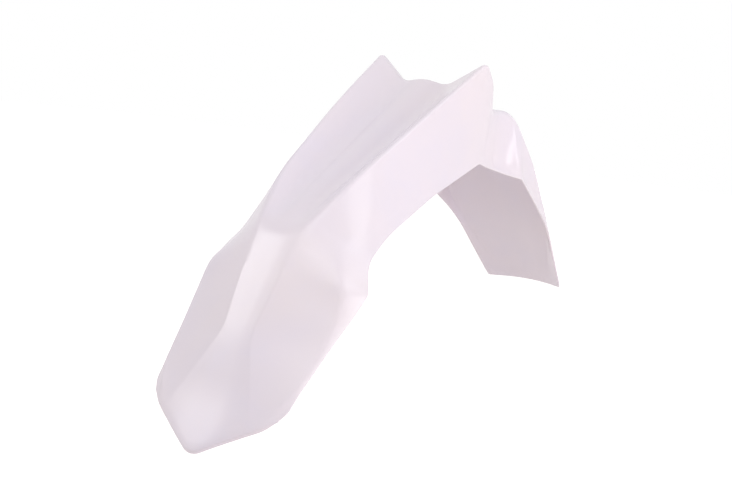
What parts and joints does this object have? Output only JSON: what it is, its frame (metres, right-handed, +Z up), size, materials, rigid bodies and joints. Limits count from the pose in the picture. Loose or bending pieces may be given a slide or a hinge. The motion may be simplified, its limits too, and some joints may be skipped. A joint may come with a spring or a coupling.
{
  "type": "motorcycle front mudguard",
  "caption": "One-piece moulded high front mudguard with a drooped nose, channelled deck, rear fins, a bolt-on pad between fork recesses and a long rear flap.",
  "frame": {"origin": "centre of the four bolt holes, on the top face of the mount pad", "axes": "+Z up, square to the pad; -Y forward to the nose; +X across"},
  "size_m": [0.229, 0.6739, 0.4562],
  "materials": {
    "moulding": "satin"
  },
  "bodies": {
    "root": {"mudguard": "moulding"}
  },
  "joints": []
}
